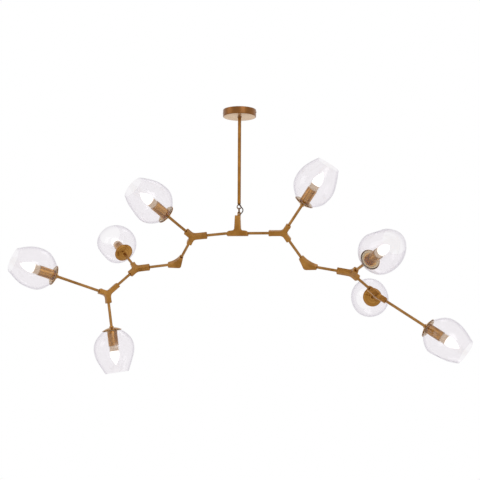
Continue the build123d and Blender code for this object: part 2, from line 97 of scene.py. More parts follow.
ROD_RADIUS = 5.0
ROD_INSERTION = 18.0
BORE_RADIUS = 5.25
BORE_DEPTH = 20.0
HUB_LONG_ARM = 53.5
HUB_SHORT_ARM = 34.5
HUB_FORK_ANGLE = 56.5
HUB_THICKNESS = 20.0
HUB_EDGE = 2.4
HUB_WAIST_HALF = 9.1
HUB_TIP_HALF = 9.5
HUB_COLLAR = 8.0
SCREW_SETBACK = 9.0
ELBOW_ARM = 38.0
ELBOW_ANGLE = 53.0
ELBOW_THICKNESS = 21.0
ELBOW_EDGE = 1.9
ELBOW_TIP_HALF = 6.4
ELBOW_HEEL = 18.0
ELBOW_HOLLOW = 5.5
INNER_ROD = 72.5
BRANCH_ROD = 72.5
ELBOW_ROD = 72.5
FORK_ROD = 65.0
SHORT_LIGHT_ROD = 88.0
LONG_LIGHT_ROD = 165.0

CUP_RADIUS = 35.0
CUP_DEPTH = 10.7
CUP_WALL = 1.2
LIP_RADIUS = 0.95
BOSS_RADIUS = 8.0
SEAT_GAP = 0.3
SLEEVE_RADIUS = 18.0
SLEEVE_WALL = 1.0
SLEEVE_FLOOR = 1.8
SLEEVE_TOP = CUP_DEPTH + 56.0
NUT_RADIUS = 7.9
NUT_GAP = 0.1
NUT_DEPTH = 5.0
CLAMP_INSIDE = 18.3
CLAMP_OUTSIDE = 24.0
CLAMP_DEPTH = 3.0
GASKET_INSIDE = 24.5
GASKET_OUTSIDE = 31.2
GASKET_DEPTH = 1.1
GASKET_GAP = 0.1
INSERT_RADIUS = 16.3
INSERT_CORE = 13.0
INSERT_PITCH = 3.1
INSERT_FOOT = 12.6
INSERT_STEP = 37.6
INSERT_TOP = SLEEVE_TOP + 19.0
WIRE_HOLE_RADIUS = 3.5
CAP_BORE_RADIUS = 7.4
CAP_BORE_FOOT = 17.6
CAP_BORE_TOP = 42.6
BULB_FOOT = 18.6
BULB_SHOULDER = 43.6
BULB_TIP = INSERT_TOP + 49.0
CAP_RADIUS = 6.9
CAP_PITCH = 3.5
SHADE_WALL = 2.0
SHADE_HOLE = 19.5
SHADE_SEAT = 33.4
SHADE_HEIGHT = 156.5

# Turns of each side's hubs and elbow, from the centre outwards, in degrees.
LEFT_TURNS = (-44.0, -63.0, 48.0, 10.0)
RIGHT_TURNS = (20.5, 53.5, 59.5, 109.5)

# Angle between two faces, in degrees, from which their edge is shown sharp.
SHARP = 32.0
CASTING_SHARP = 28.0


# ----------------------------------------------------------------- vectors
def vec(*numbers):
    return np.array(numbers, float)


def unit(v):
    return v / np.linalg.norm(v)


def turned_up(forward, turn):
    """Unit vector square to forward, turned by an angle from straight up."""
    upright = unit(vec(0, 0, 1) - forward * forward[2])
    sideways = np.cross(forward, upright)
    return upright * cos(radians(turn)) + sideways * sin(radians(turn))


def spoke(way):
    """Unit vector square to a way: its upper side, or +X where it is upright."""
    return vec(1, 0, 0) if abs(way[2]) > 0.9999 else turned_up(way, 0)


def swung(forward, upward, angle):
    """Direction an angle away from forward, towards upward."""
    return forward * cos(radians(angle)) + upward * sin(radians(angle))


def wheel(way, count):
    """Angles of a full turn, and the unit vectors at them square to a way."""
    a, upright = np.linspace(0, 2 * pi, count, endpoint=False), spoke(way)
    spokes = np.cos(a)[:, None] * upright + np.sin(a)[:, None] * np.cross(way, upright)
    return a, spokes


# ------------------------------------------------------------------ meshes
def quads_over(rows, columns):
    """Quads, as numbers of points, of a grid whose columns close on themselves.

    A quad joins point (i, j) to (i, j + 1), (i + 1, j + 1) and (i + 1, j).
    """
    here = np.arange(rows * columns).reshape(rows, columns)
    there = np.roll(here, -1, axis=1)
    quads = np.stack([here[:-1], there[:-1], there[1:], here[1:]], axis=-1)
    return quads.reshape(-1, 4)


class Skin:
    """Grids of points, in millimetres, gathered into one mesh."""

    def __init__(self):
        self.points, self.quads, self.maps, self.finishes = [], [], [], []
        self.count = 0

    def add(self, grid, finish=0):
        """Add a grid whose columns close on themselves.

        Its map is in metres: u round the widest row, v along the mean
        column. finish is the place of its finish in the piece's list, one
        for all or one for each row of quads.
        """
        rows, columns = grid.shape[:2]
        runs = np.linalg.norm(np.diff(grid, axis=0), axis=2).mean(axis=1)
        along = np.concatenate([[0.0], np.cumsum(runs)]) * MM
        chords = np.linalg.norm(np.roll(grid, -1, axis=1) - grid, axis=2)
        girth = chords.sum(axis=1).max() * MM
        step = np.arange(columns) * girth / columns
        u = np.stack([step, step + girth / columns, step + girth / columns, step], axis=-1)
        v = np.stack([along[:-1], along[:-1], along[1:], along[1:]], axis=-1)
        uv = np.stack(np.broadcast_arrays(u[None], v[:, None]), axis=-1)
        self.maps.append(uv.reshape(-1, 2))
        self.points.append(grid.reshape(-1, 3))
        self.quads.append(quads_over(rows, columns) + self.count)
        self.finishes.append(np.repeat(np.broadcast_to(finish, rows - 1), columns))
        self.count += rows * columns
        return self

    def piece(self, name, finishes, sharp=SHARP):
        """The object, with doubles merged and its faces turned outwards."""
        points = np.concatenate(self.points) * MM
        quads = np.concatenate(self.quads)
        mesh = bpy.data.meshes.new(name)
        mesh.vertices.add(len(points))
        mesh.vertices.foreach_set("co", points.ravel())
        mesh.loops.add(quads.size)
        mesh.loops.foreach_set("vertex_index", quads.ravel())
        mesh.polygons.add(len(quads))
        mesh.polygons.foreach_set("loop_start", np.arange(0, quads.size, 4))
        mesh.polygons.foreach_set("material_index", np.concatenate(self.finishes))
        grain = mesh.uv_layers.new(name="grain")
        grain.uv.foreach_set("vector", np.concatenate(self.maps).ravel())
        mesh.update()
        return close_up(mesh, name, finishes, sharp)


def linked(name, data):
    """A new object of some data, linked into the scene."""
    made = bpy.data.objects.new(name, data)
    bpy.context.scene.collection.objects.link(made)
    return made


def close_up(mesh, name, finishes, sharp=SHARP):
    """Object of a mesh: doubles merged, faces outwards, smooth but for sharp edges."""
    work = bmesh.new()
    work.from_mesh(mesh)
    bmesh.ops.remove_doubles(work, verts=work.verts, dist=0.002 * MM)
    bmesh.ops.recalc_face_normals(work, faces=work.faces)
    work.to_mesh(mesh)
    work.free()
    mesh.shade_smooth()
    mesh.set_sharp_from_angle(angle=radians(sharp))
    for finish in finishes if isinstance(finishes, (list, tuple)) else [finishes]:
        mesh.materials.append(finish)
    return linked(name, mesh)


def place(made, body, slot, *nodes):
    """Ride a piece on a body and hide the CAD nodes it stands for; slot is not used."""
    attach(made, body)
    if nodes:
        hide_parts(*nodes)


def place_turned(name, finish, outline, origin, way, around, body, slot, *nodes):
    """Make a piece whose outline is turned about a line, and place it."""
    made = Skin().add(lathe(outline, origin, way, around)).piece(name, finish)
    place(made, body, slot, *nodes)


def eased(corners, cut, steps, closed=False):
    """Polyline whose corners become quadratic curves.

    A corner C turns into (1-t)^2 A + 2t(1-t) C + t^2 B, with A and B on its
    two runs, cut away from C or 0.45 of the shorter run.
    """
    corners = np.array(corners, float)
    before, after = np.roll(corners, 1, axis=0), np.roll(corners, -1, axis=0)
    back, ahead = before - corners, after - corners
    back_run = np.maximum(np.linalg.norm(back, axis=1), 1e-9)
    ahead_run = np.maximum(np.linalg.norm(ahead, axis=1), 1e-9)
    longest = 0.45 * np.minimum(back_run, ahead_run)
    trim = np.minimum(np.broadcast_to(cut, len(corners)), longest)[:, None]
    start = corners + back / back_run[:, None] * trim
    end = corners + ahead / ahead_run[:, None] * trim
    t = np.linspace(0, 1, steps + 1)[None, :, None]
    curve = (1 - t) ** 2 * start[:, None] + 2 * t * (1 - t) * corners[:, None]
    curve = curve + t**2 * end[:, None]
    axes = corners.shape[1]
    if closed:
        return curve.reshape(-1, axes)
    return np.concatenate([corners[:1], curve[1:-1].reshape(-1, axes), corners[-1:]])


def through(points, count):
    """Natural cubic spline through points, by chord length, at count places.

    The second derivatives m solve the usual tridiagonal system, and a run of
    length h blends its ends a, b as a(1-s) + b s plus the cubic terms of m.
    """
    points = np.array(points, float)
    runs = np.linalg.norm(np.diff(points, axis=0), axis=1)
    knots = np.concatenate([[0.0], np.cumsum(runs)])
    last = len(points) - 1
    system, right = np.eye(last + 1), np.zeros_like(points)
    inner = np.arange(1, last)
    system[inner, inner - 1], system[inner, inner] = runs[:-1], 2 * (runs[:-1] + runs[1:])
    system[inner, inner + 1] = runs[1:]
    slopes = np.diff(points, axis=0) / runs[:, None]
    right[1:-1] = 6 * np.diff(slopes, axis=0)
    second = np.linalg.solve(system, right)
    at = np.linspace(0, knots[-1], count)
    i = np.clip(np.searchsorted(knots, at, side="right") - 1, 0, last - 1)
    h, s = runs[i][:, None], ((at - knots[i]) / runs[i])[:, None]
    a, b = 1 - s, s
    bend = (a**3 - a) * second[i] + (b**3 - b) * second[i + 1]
    return a * points[i] + b * points[i + 1] + bend * h**2 / 6


def lathe(outline, origin, way, around):
    """Surface of revolution about a line.

    An outline point (r, h) goes to origin + h way + r s, for each of the
    unit vectors s square to the line.
    """
    outline = np.array(outline, float)
    spokes = wheel(way, around)[1]
    return origin + outline[:, 1, None, None] * way + outline[:, 0, None, None] * spokes


def closed(outline):
    """The outline with its first point again at its end."""
    return np.concatenate([outline, outline[:1]])


def band(inside, outside, low, high):
    """The four corners of a plain ring's outline."""
    return [(inside, low), (outside, low), (outside, high), (inside, high)]


def hoop(centre, axis, radius, wire, along=72, around=20):
    """Torus: wire circles carried round a circle square to its axis."""
    a = np.linspace(0, 2 * pi, around, endpoint=False)
    section = np.stack([radius + wire * np.cos(a), wire * np.sin(a)], axis=-1)
    return lathe(closed(section), centre, axis, along)


def tube_along(path, radius, around=20):
    """Round tube: a circle square to each point's run, closed at both ends."""
    run = np.gradient(path, axis=0)
    run /= np.linalg.norm(run, axis=1)[:, None]
    side = np.cross(run, vec(0, 1, 0))
    side /= np.linalg.norm(side, axis=1)[:, None]
    other = np.cross(side, run)
    a = np.linspace(0, 2 * pi, around, endpoint=False)[None, :, None]
    ring = path[:, None] + radius * (np.cos(a) * side[:, None] + np.sin(a) * other[:, None])
    ends = [np.broadcast_to(path[i], (1, around, 3)) for i in (0, -1)]
    return np.concatenate([ends[0], ring, ends[1]])


def rod_grid(start, way, length, radius=ROD_RADIUS):
    """Straight rod with its two rims just broken."""
    rim = 0.4
    near_end = [(0, 0), (radius - rim, 0), (radius, rim)]
    far_end = [(radius, length - rim), (radius - rim, length), (0, length)]
    return lathe(near_end + far_end, start, way, 40)


def evaluated(made):
    """A new mesh of an object as its modifiers or curve settings leave it."""
    bpy.context.view_layer.update()
    worked = made.evaluated_get(bpy.context.evaluated_depsgraph_get())
    return bpy.data.meshes.new_from_object(worked)


def baked(made):
    """The object with its modifiers turned into its mesh."""
    shaped = evaluated(made)
    made.modifiers.clear()
    old, made.data = made.data, shaped
    bpy.data.meshes.remove(old)
    return made


def plate(name, drawn, axes, thickness, edge, bores):
    """Flat brass casting with rounded edges, and bores drilled into it.

    drawn(inset) is its outline (x, y) that far inside its edge, always of as
    many points. axes are (origin, forward, upward), and the points go to
    origin + x forward + y upward + z side. Along the edge's quarter circle
    the inset is edge (1 - cos b), and z is half the thickness less
    edge (1 - sin b). A bore is (place, way out, radius, depth).
    """
    origin, forward, upward = axes
    b = np.linspace(pi / 2, 0, 5)
    insets, heights = edge * (1 - np.cos(b)), edge * (1 - np.sin(b)) - thickness / 2
    insets = np.concatenate([insets, insets[::-1]])
    heights = np.concatenate([heights, -heights[::-1]])
    outlines = np.stack([drawn(inset) for inset in insets])
    side = np.cross(forward, upward)
    grid = origin + outlines[..., :1] * forward + outlines[..., 1:] * upward
    grid = grid + heights[:, None, None] * side
    rows, columns = grid.shape[:2]
    low_face, high_face = range(columns)[::-1], range((rows - 1) * columns, rows * columns)
    faces = [*quads_over(rows, columns).tolist(), list(low_face), list(high_face)]
    mesh = bpy.data.meshes.new(name)
    mesh.from_pydata((grid.reshape(-1, 3) * MM).tolist(), [], faces)
    made = close_up(mesh, name, CAST_BRASS)
    cutters = Skin()
    for bore_place, way, radius, depth in bores:
        lip, past = 0.7, 3.0
        drilled = [(0, -depth), (radius, -depth), (radius, -lip)]
        flared = [(radius + lip, 0), (radius + lip, past), (0, past)]
        cutters.add(lathe(drilled + flared, bore_place, way, 40))
    cutter = cutters.piece("bores", CAST_BRASS)
    cut = made.modifiers.new("bores", "BOOLEAN")
    cut.operation, cut.solver, cut.object = "DIFFERENCE", "EXACT", cutter
    baked(made)
    bpy.data.objects.remove(cutter)
    made.data.shade_smooth()
    made.data.set_sharp_from_angle(angle=radians(CASTING_SHARP))
    made.modifiers.new("flat_faces", "WEIGHTED_NORMAL").keep_sharp = True
    return baked(made)


# --------------------------------------------------------------- materials
def linear(code):
    """Linear colour of a written sRGB colour such as 8f6238."""
    shares = np.array([int(code[i : i + 2], 16) for i in (0, 2, 4)]) / 255
    shares = np.where(shares <= 0.04045, shares / 12.92, ((shares + 0.055) / 1.055) ** 2.4)
    return (*shares.tolist(), 1.0)


class Finish:
    """A material made from nodes, with short calls to add and link them."""

    def __init__(self, name):
        self.material = bpy.data.materials.new(name)
        self.material.use_nodes = True
        self.tree = self.material.node_tree
        self.shader = self.tree.nodes["Principled BSDF"]
        self.out = self.tree.nodes["Material Output"]
        self.spot = self.node("TexCoord", output=3)

    def set(self, **sockets):
        """Set or link the main shader's sockets; _ in a name is a space."""
        named = {name.replace("_", " "): value for name, value in sockets.items()}
        self.fill(self.shader, named)

    def fill(self, node, sockets):
        """Set a node's sockets to values, or link them to other sockets."""
        for name, value in sockets.items():
            if isinstance(value, bpy.types.NodeSocket):
                self.tree.links.new(value, node.inputs[name])
            else:
                node.inputs[name].default_value = value

    def node(self, kind, sockets=None, output=0, **settings):
        """A new node's output socket."""
        made = self.tree.nodes.new("ShaderNode" + kind)
        for name, value in settings.items():
            setattr(made, name, value)
        self.fill(made, sockets or {})
        return made.outputs[output]

    def noise(self, where, scale, detail=3.0, roughness=0.55, stretch=None):
        """Noise value from 0 to 1 at a coordinate, perhaps stretched."""
        if stretch:
            where = self.node("Mapping", {"Vector": where, "Scale": stretch})
        sockets = {"Vector": where, "Scale": scale, "Detail": detail, "Roughness": roughness}
        return self.node("TexNoise", sockets)

    def ramp(self, value, low, high, start=0.0, end=1.0):
        """The value between low and high, spread to start and end."""
        sockets = {"Value": value, "From Min": low, "From Max": high}
        return self.node("MapRange", {**sockets, "To Min": start, "To Max": end})

    def between(self, factor, first, second):
        """Colour mixed from two written colours."""
        made = self.tree.nodes.new("ShaderNodeMix")
        made.data_type = "RGBA"
        self.tree.links.new(factor, made.inputs[0])
        for socket, colour in ((made.inputs[6], first), (made.inputs[7], second)):
            if isinstance(colour, str):
                socket.default_value = linear(colour)
            else:
                self.tree.links.new(colour, socket)
        return made.outputs[2]

    def bump(self, height, strength, distance):
        return self.node("Bump", {"Height": height, "Strength": strength, "Distance": distance})


def brass(name, shine, grain, dark, light, turned=0.0, lacquer=0.0, painted_streaks=None):
    """Lacquered brass: a mottled tone, a grain of fine lines and soft shine.

    grain is the stretch of the lines over the piece's own map, or None for
    a cast piece, whose fine pitting lies on Object coordinates. turned draws
    the highlights out square to the lines that a lathe leaves, lacquer is
    the weight of a clear coat, and the last argument is the stretch over the
    map of broad light and dark streaks painted into the tone in place of the
    mottle: painted reflections of polished brass.
    """
    made = Finish(name)
    own_map = made.node("UVMap", uv_map="grain")
    # Painted reflections: broad light and dark streaks along the piece's map take the place of
    # the random mottle.
    if painted_streaks:
        mottle_and_painted_streaks = made.noise(own_map, 1.0, 2.0, 0.5, painted_streaks)
    else:
        mottle_and_painted_streaks = made.noise(made.spot, 22.0, 4.0, 0.6)
    tone = made.between(made.ramp(mottle_and_painted_streaks, 0.3, 0.7), dark, light)
    if grain:
        lines = made.noise(own_map, 1.0, 3.0, 0.7, grain)
        relief = made.bump(lines, 0.08, 0.00006)
    else:
        lines = made.noise(made.spot, 1400.0, 3.0, 0.7)
        relief = made.bump(lines, 0.12, 0.0001)
    worn = made.noise(made.spot, 60.0, 3.0)
    gloss = made.ramp(worn, 0.3, 0.7, shine - 0.04, shine + 0.06)
    made.set(Base_Color=tone, Metallic=1.0, Roughness=gloss, Normal=relief)
    if turned:
        round_it = made.node("Tangent", direction_type="UV_MAP", uv_map="grain")
        made.set(Anisotropic=turned, Anisotropic_Rotation=0.25, Tangent=round_it)
    if lacquer:
        made.set(Coat_Weight=lacquer, Coat_Roughness=0.15)
    return made.material


def blown_glass():
    """Clear glass with a faint lilac cast and the ripple of hand blowing.

    Where it is seen square on, a small part of it bends light as a thick
    wall does. The rest lets it straight through, greyer towards its edges,
    less a mirrored share that grows with the angle as 0.04 + 0.3 facing^5.
    Shadow and diffuse rays go straight through, so that the lamps light what
    is behind.
    """
    made = Finish("blown_glass")
    ripple = made.bump(made.noise(made.spot, 24.0, 1.0, 0.4), 0.1, 0.0003)
    made.set(Base_Color=linear("f9f8fa"), Roughness=0.0, Normal=ripple)
    made.set(Transmission_Weight=1.0, IOR=1.25)
    facing = made.node("LayerWeight", {"Blend": 0.5}, output=1)
    cast = made.between(made.ramp(facing, 0.5, 1.0), "fcfbfc", "f3f1f4")
    steep = made.node("Math", {0: facing, 1: 5.0}, operation="POWER")
    mirrored = made.node("Math", {0: steep, 1: 0.3, 2: 0.04}, operation="MULTIPLY_ADD")
    shine = made.node("BsdfAnisotropic", {"Roughness": 0.05})
    clear = made.node("BsdfTransparent", {"Color": cast})
    pane = made.node("MixShader", {0: mirrored, 1: clear, 2: shine})
    path = made.tree.nodes.new("ShaderNodeLightPath").outputs
    unseen = {0: path["Is Shadow Ray"], 1: path["Is Diffuse Ray"]}
    straight = made.node("Math", unseen, operation="MAXIMUM")
    thin = made.ramp(facing, 0.05, 0.3, 0.95, 1.0)
    straight = made.node("Math", {0: straight, 1: thin}, operation="MAXIMUM")
    mixed = made.node("MixShader", {0: straight, 1: made.shader.outputs[0], 2: pane})
    made.tree.links.new(mixed, made.out.inputs["Surface"])
    return made.material


def opal_glass():
    """White envelope of a lamp, lit from inside and softly glossy."""
    made = Finish("opal_glass")
    haze = made.between(made.noise(made.spot, 90.0), "f4f1ec", "fdfbf8")
    made.set(Base_Color=haze, Roughness=0.28)
    made.set(Emission_Color=linear("fffdfa"), Emission_Strength=0.75)
    return made.material


def stoneware():
    """Unglazed beige ceramic with fine specks."""
    made = Finish("ceramic_body")
    specks = made.ramp(made.noise(made.spot, 500.0, 4.0), 0.35, 0.7)
    tone = made.between(specks, "cdb294", "e2cdb2")
    relief = made.bump(made.noise(made.spot, 1600.0), 0.2, 0.0001)
    made.set(Base_Color=tone, Roughness=0.55, Normal=relief)
    return made.material


def steel():
    """Zinc-plated steel with a cloudy bloom."""
    made = Finish("plated_steel")
    bloom = made.ramp(made.noise(made.spot, 120.0, 5.0), 0.3, 0.7)
    tone = made.between(bloom, "8d8c88", "b4b2ad")
    relief = made.bump(made.noise(made.spot, 900.0), 0.1, 0.0001)
    made.set(Base_Color=tone, Metallic=1.0, Roughness=0.34, Normal=relief)
    return made.material


def moulded(name, low, high, roughness=0.45):
    """Moulded plastic or rubber with a faint fine texture."""
    made = Finish(name)
    tone = made.between(made.noise(made.spot, 260.0, 3.0), low, high)
    relief = made.bump(made.noise(made.spot, 1100.0), 0.15, 0.0001)
    made.set(Base_Color=tone, Roughness=roughness, Normal=relief)
    return made.material


# Lines round a turned piece are close together along it, and lines along a
# drawn rod are close together round it. Broad light and dark bands painted
# round the cups and along the sleeves are painted reflections, as polished
# brass would mirror.
ROUND = (30.0, 2600.0, 1.0)
ALONG = (2600.0, 12.0, 1.0)
CUP_PAINTED_STREAKS = (4.0, 150.0, 1.0)
SLEEVE_PAINTED_STREAKS = (95.0, 6.0, 1.0)
CAST_BRASS = brass("cast_brass", 0.36, None, "8c5f2a", "ab7b40")
# Darker brass for the forged eye and the link ring.
DARK_BRASS = brass("dark_brass", 0.42, None, "5a3d1b", "7a5528")
DRAWN_BRASS = brass("drawn_brass", 0.3, ALONG, "8a602f", "a67a46")
STEM_BRASS = brass("stem_brass", 0.34, ALONG, "7e5526", "98692f")
CANOPY_BRASS = brass("canopy_brass", 0.36, ROUND, "734920", "875726", lacquer=0.25)
# The canopy's underside: a much paler copy of the canopy brass, a painted reflection of the pale
# floor below.
CANOPY_FACE_PAINTED_REFLECTION = brass("canopy_face_painted_reflection", 0.36, ROUND, "bd9a72", "d0af86", lacquer=0.25)
# Cups and sleeves: their tone runs from dark to light in painted reflection streaks.
SPUN_BRASS_PAINTED_STREAKS = brass("spun_brass_painted_streaks", 0.22, ROUND, "84581f", "be8c4c", 0.6, painted_streaks=CUP_PAINTED_STREAKS)
SLEEVE_BRASS_PAINTED_STREAKS = brass("sleeve_brass_painted_streaks", 0.17, ROUND, "74481a", "c8934a", 0.5, painted_streaks=SLEEVE_PAINTED_STREAKS)
# The clamp ring: a lighter copy of brass, a painted highlight inside the shaded cup.
RING_BRASS_PAINTED_HIGHLIGHT = brass("ring_brass_painted_highlight", 0.3, ROUND, "a67a3e", "deb270")
GLASS = blown_glass()
OPAL = opal_glass()
CERAMIC = stoneware()
STEEL = steel()
WHITE_PLASTIC = moulded("white_plastic", "dedcd6", "ecebe6")
LEAD_SLEEVE = moulded("lead_sleeve", "2e1c0a", "4a3218", 0.5)
GASKET = moulded("cream_gasket", "dcc79c", "f2e2be", 0.35)
# Dark fill of the screws' recesses: painted shade.
RECESS_PAINTED_SHADE = moulded("screw_recess_painted_shade", "2e241a", "463828", 0.5)


# ------------------------------------------------------- camera and lights
def set_camera():
    """Camera a little right of the stem and below it, looking slightly up."""
    forward_flat = unit(vec(-0.13470, 0.99089, 0))
    pitch, roll = radians(4.0617), radians(0.2946)
    forward = forward_flat * cos(pitch) + vec(0, 0, sin(pitch))
    right = unit(np.cross(forward, vec(0, 0, 1)))
    up = np.cross(right, forward)
    turned_right = right * cos(roll) + up * sin(roll)
    turned_over = up * cos(roll) - right * sin(roll)
    lens = bpy.data.cameras.new("camera")
    lens.sensor_width, lens.lens = 36.0, 53.656
    camera = linked("camera", lens)
    stand = vec(0.34801, -2.53158, -0.65308)
    columns = np.column_stack([turned_right, turned_over, -forward, stand])
    camera.matrix_world = Matrix([*columns.tolist(), [0, 0, 0, 1]])
    bpy.context.scene.camera = camera


def add_panel(name, spot, power):
    """Soft square light panel at a spot, facing the chandelier's middle."""
    data = bpy.data.lights.new(name, "AREA")
    data.size, data.energy = 1.8, power
    panel = linked(name, data)
    panel.location = spot
    aim = Vector((0, 0, -0.5)) - Vector(spot)
    panel.rotation_euler = aim.to_track_quat("-Z", "Y").to_euler()


def set_world():
    """White for what is seen, mirrored or seen through glass; softer as light."""
    world = bpy.data.worlds.new("studio")
    world.use_nodes = True
    tree = world.node_tree
    tree.nodes.clear()
    path = tree.nodes.new("ShaderNodeLightPath").outputs
    seen = path["Is Camera Ray"]
    for ray in ("Is Glossy Ray", "Is Transmission Ray"):
        either = tree.nodes.new("ShaderNodeMath")
        either.operation = "MAXIMUM"
        tree.links.new(seen, either.inputs[0])
        tree.links.new(path[ray], either.inputs[1])
        seen = either.outputs[0]
    mix = tree.nodes.new("ShaderNodeMixShader")
    tree.links.new(seen, mix.inputs[0])
    for socket, strength in ((1, 0.78), (2, 1.0)):
        glow = tree.nodes.new("ShaderNodeBackground")
        glow.inputs["Color"].default_value = (1, 1, 1, 1)
        glow.inputs["Strength"].default_value = strength
        tree.links.new(glow.outputs[0], mix.inputs[socket])
    out = tree.nodes.new("ShaderNodeOutputWorld")
    tree.links.new(mix.outputs[0], out.inputs[0])
    bpy.context.scene.world = world


def set_floor():
    """Pale round floor far below, fading at its edge and clear from beneath."""
    height, half = -2.6, 3.4
    mesh = bpy.data.meshes.new("floor")
    corners = [(x * half, y * half, height) for x, y in ((-1, -1), (1, -1), (1, 1), (-1, 1))]
    mesh.from_pydata(corners, [], [(0, 1, 2, 3)])
    made = Finish("floor_paint")
    dust = made.between(made.noise(made.spot, 6.0), "f2f1ef", "f7f6f5")
    made.set(Base_Color=dust, Roughness=0.9)
    made.set(Emission_Color=(1, 1, 1, 1), Emission_Strength=0.12)
    flat = made.node("VectorMath", {0: made.spot, 1: (1, 1, 0)}, operation="MULTIPLY")
    from_middle = made.node("VectorMath", {0: flat}, output=1, operation="LENGTH")
    edge = made.ramp(from_middle, 1.6, 3.3)
    under = made.node("NewGeometry", output=6)
    hidden = made.node("Math", {0: edge, 1: under}, operation="MAXIMUM")
    clear = made.node("BsdfTransparent")
    mixed = made.node("MixShader", {0: hidden, 1: made.shader.outputs[0], 2: clear})
    made.tree.links.new(mixed, made.out.inputs["Surface"])
    mesh.materials.append(made.material)
    floor = linked("floor", mesh)


bpy.context.scene.view_settings.view_transform = "Standard"
set_camera()
add_panel("key_panel", (1.9, -3.2, 1.0), 20)
add_panel("side_panel", (-3.0, -1.4, 0.9), 10)
add_panel("back_panel", (0.6, 2.6, 3.2), 12)
set_world()
set_floor()


# ------------------------------------------------------------- ceiling end
def make_ceiling_end():
    """Canopy, stem, eye, link ring and the small screws of the canopy."""
    down, hole = vec(0, 0, -1), STEM_RADIUS + CANOPY_GAP
    inside, above = CANOPY_RADIUS - CANOPY_WALL, CANOPY_HEIGHT - CANOPY_WALL
    shell = [(inside, 0), (CANOPY_RADIUS, 0), (CANOPY_RADIUS, CANOPY_HEIGHT)]
    shell += [(hole, CANOPY_HEIGHT), (hole, above), (inside, above)]
    rounds = [0.3, 0.3, 2.6, 0.3, 0.3, 1.6]
    outline = closed(eased(shell, rounds, 6, closed=True))
    # The underside's rows take the paler second finish: a painted reflection.
    low_row = outline[:, 1] > CANOPY_HEIGHT - 0.05
    face = (low_row[:-1] & low_row[1:]).astype(int)
    canopy = Skin().add(lathe(outline, vec(0, 0, 0), down, 160), face)
    place(canopy.piece("canopy_shell", [CANOPY_BRASS, CANOPY_FACE_PAINTED_REFLECTION]), "ceiling", "brass", "canopy")
    head = eased([(0, 1.5), (2.6, 1.3), (3.4, 0.5), (3.4, 0), (0, 0)], 0.4, 3)
    for side, name in ((-1, "left"), (1, "right")):
        name, out = f"canopy_screw_{name}", vec(side, 0, 0)
        origin = out * (CANOPY_RADIUS - 0.2) - vec(0, 0, SIDE_SCREW_DROP)
        place_turned(name, CANOPY_BRASS, head, origin, out, 32, "ceiling", "brass")
    collar = [(STEM_RADIUS, -2), (COLLAR_RADIUS, -2), (COLLAR_RADIUS, 1.6)]
    collar += [(COLLAR_RADIUS - 1.2, 2.4), (STEM_RADIUS, 2.4)]
    collar, origin = closed(eased(collar, 0.5, 3, closed=True)), vec(0, 0, 0.4 - CANOPY_HEIGHT)
    place_turned("stem_collar", CANOPY_BRASS, collar, origin, down, 64, "ceiling", "brass")
    stem = Skin().add(rod_grid(vec(0, 0, STEM_TOP), down, STEM_TOP - STEM_END, STEM_RADIUS))
    nipple = vec(0, 0, STEM_TOP + NIPPLE_RISE)
    stem.add(rod_grid(nipple, down, NIPPLE_RISE + 0.5, NIPPLE_RADIUS))
    place(stem.piece("stem_tube", STEM_BRASS), "ceiling", "brass", "stem")
    plug = [(0, -6), (3.9, -6), (3.9, 0), (STEM_RADIUS, 0)]
    plug += [(STEM_RADIUS, 2.6), (4.2, EYE_COLLAR), (0, EYE_COLLAR)]
    eye = Skin().add(lathe(eased(plug, 0.5, 3), vec(0, 0, STEM_END), down, 48))
    eye.add(hoop(vec(0, 0, EYE_HEIGHT), vec(0, 1, 0), EYE_RADIUS, WIRE_RADIUS))
    place(eye.piece("stem_eye_forged", DARK_BRASS), "ceiling", "brass", "stem_eye")
    ring = Skin().add(hoop(vec(0, 0, LINK_HEIGHT), vec(1, 0, 0), LINK_RADIUS, WIRE_RADIUS))
    place(ring.piece("link_ring_wire", DARK_BRASS), "link", "brass", "link_ring")


def make_lead():
    """Short lead past the ring joint, in two lengths that meet at the ring.

    Its line is the spline of the source's route points. The upper length
    runs from the ceiling end to the link ring's height, the lower one on to
    the centre hub.
    """
    route = [
        (2.0, -3.45, -340.8),
        (2.1, -3.6, -348.0),
        (8.6, -4.4, -354.0),
        (14.6, -4.8, -361.0),
        (14.4, -5.0, -369.0),
        (9.2, -5.2, -376.0),
        (3.8, -5.2, -381.5),
        (3.6, -5.2, -387.35),
    ]
    curve = bpy.data.curves.new("lead_line", "CURVE")
    curve.dimensions, curve.resolution_u = "3D", 12
    spline = curve.splines.new("NURBS")
    spline.points.add(len(route) - 1)
    spline.points.foreach_set("co", np.column_stack([route, np.ones(len(route))]).ravel())
    spline.order_u, spline.use_endpoint_u = 3, True
    line = linked("lead_line", curve)
    track = evaluated(line)
    path = np.zeros(len(track.vertices) * 3)
    track.vertices.foreach_get("co", path)
    path = path.reshape(-1, 3)
    bpy.data.objects.remove(line)
    bpy.data.meshes.remove(track)
    middle = int(np.argmin(np.abs(path[:, 2] - LINK_HEIGHT)))
    for name, run, bodies in (
        ("jumper_lead_upper", path[: middle + 1], ("ceiling", "link")),
        ("jumper_lead_lower", path[middle:], ("link", "centre")),
    ):
        made = Skin().add(tube_along(run, LEAD_SLEEVING)).piece(name, LEAD_SLEEVE)
        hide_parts("jumper_lead")
        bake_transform(made)


make_ceiling_end()
make_lead()


# -------------------------------------------------------------- centre hub
# Each end of the bar as (its middle, the way its rod leaves).
BAR_MIDDLE = vec(-EAR_ACROSS, -EAR_BEHIND, BAR_HEIGHT)
DROOPED = vec(-cos(radians(LEFT_DROOP)), 0, -sin(radians(LEFT_DROOP)))
RIGHT_START = (BAR_MIDDLE + vec(BAR_HALF_LENGTH, 0, 0), vec(1, 0, 0))
LEFT_START = (BAR_MIDDLE - vec(BAR_HALF_LENGTH, 0, 0), DROOPED)


